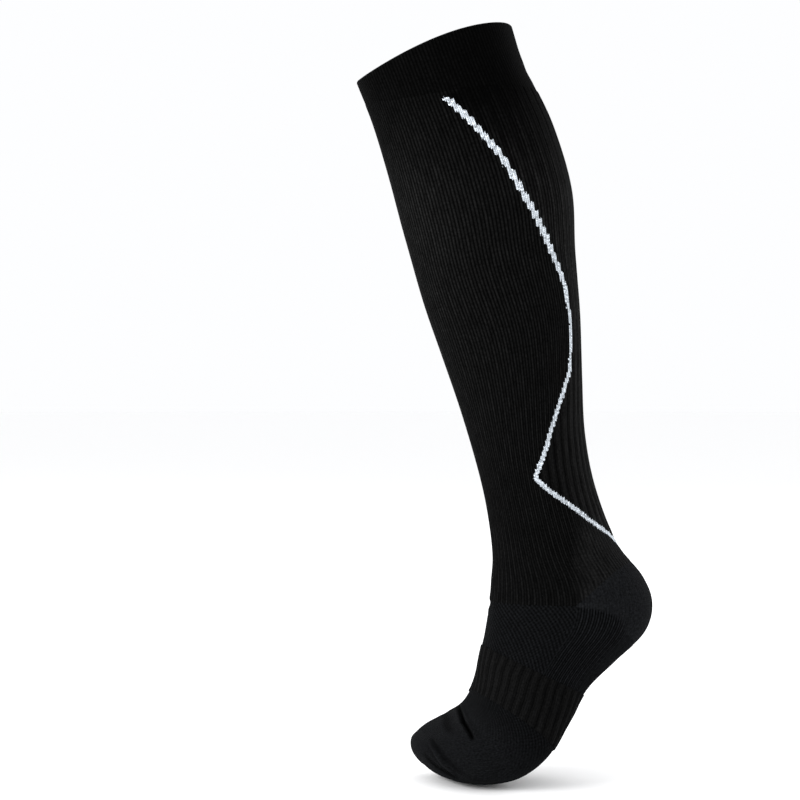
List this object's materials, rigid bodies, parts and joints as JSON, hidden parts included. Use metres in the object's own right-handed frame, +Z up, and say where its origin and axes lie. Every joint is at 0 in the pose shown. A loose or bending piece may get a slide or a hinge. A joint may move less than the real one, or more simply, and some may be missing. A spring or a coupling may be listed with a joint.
{
  "type": "compression stocking",
  "caption": "Hollow knee-length knitted stocking with a doubled top band, ribbed calf panel, shaped heel, ribbed arch band and closed toe.",
  "frame": {"origin": "middle of the top opening, where the wearer's leg holds the stocking up", "axes": "+Z up along the standing leg, toes towards -X, outer side of the leg towards -Y; the heel is raised as in the picture"},
  "size_m": [0.21, 0.1134, 0.5181],
  "materials": {
    "welt_knit": "matt doubled knit",
    "leg_knit": "matt fine rib knit",
    "plain_knit": "matt plain knit",
    "mesh_knit": "matt mesh knit",
    "band_knit": "matt broad rib knit"
  },
  "bodies": {
    "root": {"welt": "welt_knit", "upper_leg": "leg_knit", "lower_leg": "leg_knit", "ankle": "leg_knit", "heel": "plain_knit", "instep": "mesh_knit", "arch_band": "band_knit", "forefoot": "mesh_knit", "toe_cap": "plain_knit"}
  },
  "joints": []
}
